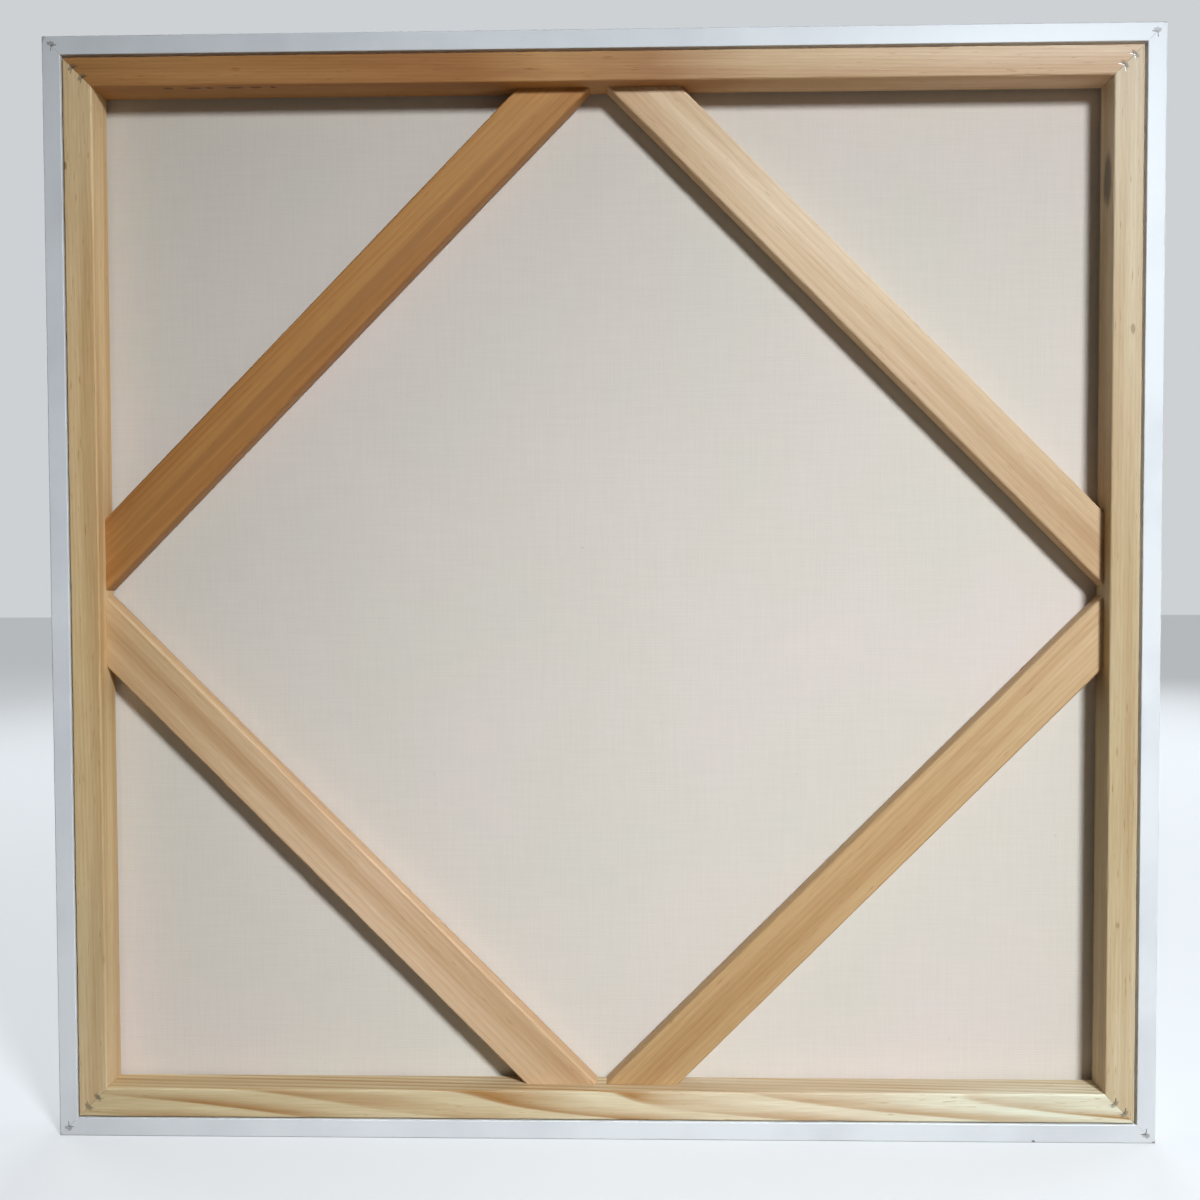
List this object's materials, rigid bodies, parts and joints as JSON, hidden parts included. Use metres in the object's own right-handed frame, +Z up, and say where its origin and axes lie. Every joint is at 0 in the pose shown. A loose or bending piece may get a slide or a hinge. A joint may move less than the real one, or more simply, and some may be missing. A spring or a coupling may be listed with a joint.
{
  "type": "stretched canvas",
  "caption": "Square primed canvas stapled to a mitred pine stretcher with a diamond of diagonal braces, set in a slim white rebated frame.",
  "frame": {"origin": "middle of the footprint: centre of the frame's width and depth, at the underside of its bottom edge", "axes": "+Z up; +Y out of the painting face, so the stretcher's bare back looks along -Y; +X to the right as seen from the back"},
  "size_m": [0.831, 0.036, 0.831],
  "materials": {
    "pine": "planed and left bare",
    "red_pine": "planed and left bare",
    "primed_cotton": "plain weave, primed white on the face",
    "white_paint": "painted, satin",
    "zinc_steel": "zinc plated"
  },
  "bodies": {
    "root": {"bar_top": "red_pine", "bar_right": "pine", "bar_bottom": "pine", "bar_left": "pine", "brace_upper_right": "red_pine", "brace_lower_right": "red_pine", "brace_lower_left": "red_pine", "brace_upper_left": "red_pine", "canvas": "primed_cotton", "frame_top": "white_paint", "frame_right": "white_paint", "frame_bottom": "white_paint", "frame_left": "white_paint", "bar_vnails_top_right": "zinc_steel", "bar_vnails_bottom_right": "zinc_steel", "bar_vnails_bottom_left": "zinc_steel", "bar_vnails_top_left": "zinc_steel", "frame_vnail_top_right": "zinc_steel", "frame_vnail_bottom_right": "zinc_steel", "frame_vnail_bottom_left": "zinc_steel", "frame_vnail_top_left": "zinc_steel", "staples_top": "zinc_steel", "staples_right": "zinc_steel", "staples_bottom": "zinc_steel", "staples_left": "zinc_steel", "brace_nails_top": "zinc_steel", "brace_nails_right": "zinc_steel", "brace_nails_bottom": "zinc_steel", "brace_nails_left": "zinc_steel", "frame_pins_top": "zinc_steel", "frame_pins_right": "zinc_steel", "frame_pins_bottom": "zinc_steel", "frame_pins_left": "zinc_steel"}
  },
  "joints": []
}
